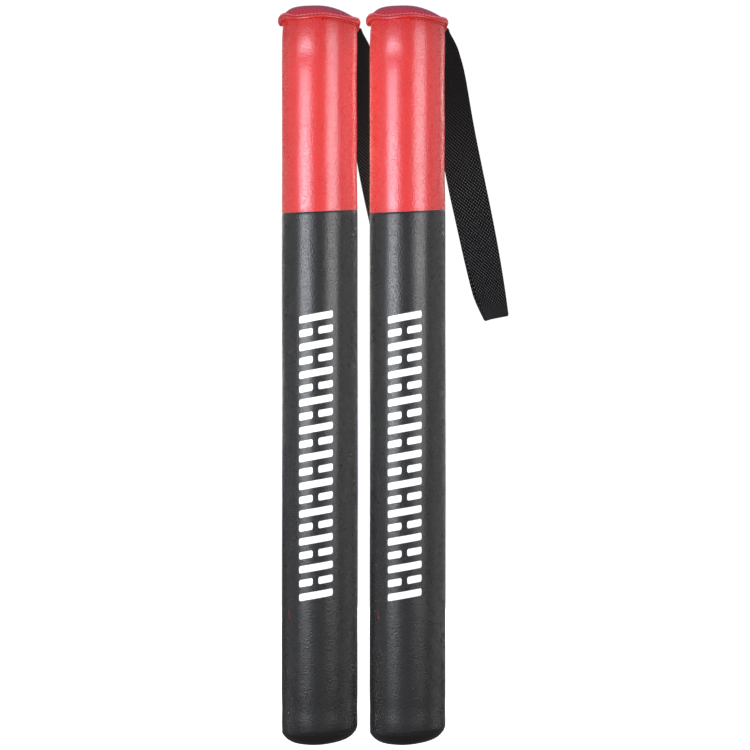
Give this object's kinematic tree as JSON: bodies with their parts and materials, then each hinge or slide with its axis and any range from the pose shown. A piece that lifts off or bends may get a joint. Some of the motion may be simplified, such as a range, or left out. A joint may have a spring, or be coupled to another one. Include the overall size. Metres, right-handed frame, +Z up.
{
  "type": "focus training sticks",
  "caption": "Padded focus training sticks for boxing and martial arts drills: round foam batons with a grip section, a striking section, domed sewn ends and a webbing wrist loop.",
  "frame": {"origin": "middle of the left stick's flat base, on the surface the pair stands on", "axes": "+Z up along the sticks, +X from the left stick to the right stick, +Y to the side that the wrist loops hang on"},
  "size_m": [0.187, 0.0878, 0.588],
  "materials": {
    "red_leather": "satin",
    "black_leather": "satin",
    "webbing": "matte",
    "red_thread": "matte",
    "black_thread": "matte",
    "foam": "matte",
    "core_plastic": "satin",
    "plug_plastic": "satin"
  },
  "bodies": {
    "left_stick": {"left_core_tube": "core_plastic", "left_upper_core_plug": "plug_plastic", "left_lower_core_plug": "plug_plastic", "left_foam_sleeve": "foam", "left_upper_foam_pad": "foam", "left_lower_foam_pad": "foam", "left_handle_cover": "red_leather", "left_striking_cover": "black_leather", "left_top_cap": "red_leather", "left_rim_binding": "red_leather", "left_rim_thread": "red_thread", "left_bottom_cap": "black_leather", "left_bottom_rim_thread": "black_thread", "left_handle_seam_thread": "red_thread", "left_striking_seam_thread": "black_thread", "left_strap_tails": "webbing"},
    "left_strap": {"left_wrist_strap": "webbing"},
    "right_stick": {"right_core_tube": "core_plastic", "right_upper_core_plug": "plug_plastic", "right_lower_core_plug": "plug_plastic", "right_foam_sleeve": "foam", "right_upper_foam_pad": "foam", "right_lower_foam_pad": "foam", "right_handle_cover": "red_leather", "right_striking_cover": "black_leather", "right_top_cap": "red_leather", "right_rim_binding": "red_leather", "right_rim_thread": "red_thread", "right_bottom_cap": "black_leather", "right_bottom_rim_thread": "black_thread", "right_handle_seam_thread": "red_thread", "right_striking_seam_thread": "black_thread", "right_strap_tails": "webbing"},
    "right_strap": {"right_wrist_strap": "webbing"}
  },
  "joints": [
    {"name": "right_stick_lift", "type": "slide", "parent": "left_stick", "child": "right_stick", "axis": [0, 0, 1], "range_m": [0, 0.3]},
    {"name": "left_strap_swing", "type": "hinge", "parent": "left_stick", "child": "left_strap", "pos_m": [0.02112, 0.02703, 0.5694], "axis": [0.788, -0.6157, 0], "range_deg": [0, 140]},
    {"name": "right_strap_swing", "type": "hinge", "parent": "right_stick", "child": "right_strap", "pos_m": [0.09112, 0.02703, 0.5694], "axis": [0.788, -0.6157, 0], "range_deg": [0, 140]}
  ]
}
